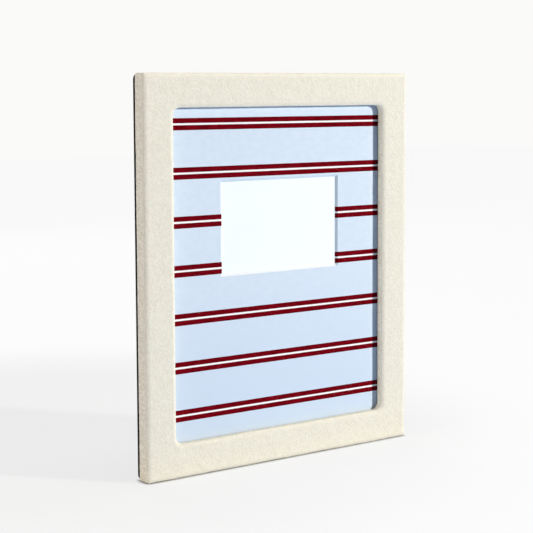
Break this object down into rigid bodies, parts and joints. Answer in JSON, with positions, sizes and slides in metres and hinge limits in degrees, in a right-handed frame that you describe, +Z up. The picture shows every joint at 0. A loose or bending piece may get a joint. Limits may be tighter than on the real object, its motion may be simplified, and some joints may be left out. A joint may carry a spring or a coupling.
{
  "type": "picture frame",
  "caption": "Upright fabric-covered picture frame with soft edges, a recessed glazed striped mat with a landscape window, a back panel held by turn buttons and a folding wing strut.",
  "frame": {"origin": "middle of the frame's bottom face, halfway through the depth of the fabric cover", "axes": "+X to the right seen from the front, +Y from front to back, +Z up"},
  "size_m": [0.344, 0.1168, 0.414],
  "materials": {
    "felt": "cream brushed felt, matt",
    "fibreboard": "raw fibreboard",
    "steel": "zinc plated",
    "brassed_steel": "brass plated, satin",
    "clear_glazing": "clear, polished",
    "striped_paper": "pale blue with red and white stripes, matt",
    "mat_core": "white core, bevel cut",
    "print_paper": "blank white, satin",
    "greyboard": "grey-brown card",
    "black_board": "hardboard faced with black flock, matt"
  },
  "bodies": {
    "frame": {"rail_top": "fibreboard", "rail_right": "fibreboard", "rail_bottom": "fibreboard", "rail_left": "fibreboard", "corner_nail_top_right": "steel", "corner_nail_top_left": "steel", "corner_nail_bottom_left": "steel", "corner_nail_bottom_right": "steel", "fabric_cover": "felt", "glazing": "clear_glazing", "mat_facing": "striped_paper", "mat_board": "mat_core", "photo_print": "print_paper", "filler_front": "greyboard", "filler_rear": "greyboard", "back_cover": "black_board", "backing_panel": "black_board", "button_screw_top_left": "brassed_steel", "button_screw_top_right": "brassed_steel", "button_screw_left": "brassed_steel", "button_screw_right": "brassed_steel", "button_screw_bottom_left": "brassed_steel", "button_screw_bottom_right": "brassed_steel", "hinge_lower_fixed_leaf": "brassed_steel", "hinge_upper_fixed_leaf": "brassed_steel", "hinge_lower_pin": "steel", "hinge_upper_pin": "steel", "hinge_lower_panel_rivet_lower": "brassed_steel", "hinge_lower_panel_rivet_upper": "brassed_steel", "hinge_upper_panel_rivet_lower": "brassed_steel", "hinge_upper_panel_rivet_upper": "brassed_steel", "sawtooth_hanger": "brassed_steel", "hanger_nail_left": "steel", "hanger_nail_right": "steel"},
    "strut": {"strut": "black_board", "hinge_lower_moving_leaf": "brassed_steel", "hinge_upper_moving_leaf": "brassed_steel", "hinge_lower_strut_rivet_lower": "brassed_steel", "hinge_lower_strut_rivet_upper": "brassed_steel", "hinge_upper_strut_rivet_lower": "brassed_steel", "hinge_upper_strut_rivet_upper": "brassed_steel"},
    "turn_button_top_left": {"turn_button_top_left": "brassed_steel"},
    "turn_button_top_right": {"turn_button_top_right": "brassed_steel"},
    "turn_button_left": {"turn_button_left": "brassed_steel"},
    "turn_button_right": {"turn_button_right": "brassed_steel"},
    "turn_button_bottom_left": {"turn_button_bottom_left": "brassed_steel"},
    "turn_button_bottom_right": {"turn_button_bottom_right": "brassed_steel"}
  },
  "joints": [
    {"name": "strut_fold", "type": "hinge", "parent": "frame", "child": "strut", "pos_m": [-0.008, 0.01425, 0.118], "axis": [0, 0, 1], "range_deg": [-80, 0]},
    {"name": "top_left_button_turn", "type": "hinge", "parent": "frame", "child": "turn_button_top_left", "pos_m": [-0.109, 0.01245, 0.3925], "axis": [0, 1, 0], "continuous": true},
    {"name": "top_right_button_turn", "type": "hinge", "parent": "frame", "child": "turn_button_top_right", "pos_m": [0.109, 0.01245, 0.3925], "axis": [0, 1, 0], "continuous": true},
    {"name": "left_button_turn", "type": "hinge", "parent": "frame", "child": "turn_button_left", "pos_m": [-0.1505, 0.01245, 0.207], "axis": [0, 1, 0], "continuous": true},
    {"name": "right_button_turn", "type": "hinge", "parent": "frame", "child": "turn_button_right", "pos_m": [0.1505, 0.01245, 0.207], "axis": [0, 1, 0], "continuous": true},
    {"name": "bottom_left_button_turn", "type": "hinge", "parent": "frame", "child": "turn_button_bottom_left", "pos_m": [-0.109, 0.01245, 0.0215], "axis": [0, 1, 0], "continuous": true},
    {"name": "bottom_right_button_turn", "type": "hinge", "parent": "frame", "child": "turn_button_bottom_right", "pos_m": [0.109, 0.01245, 0.0215], "axis": [0, 1, 0], "continuous": true}
  ]
}
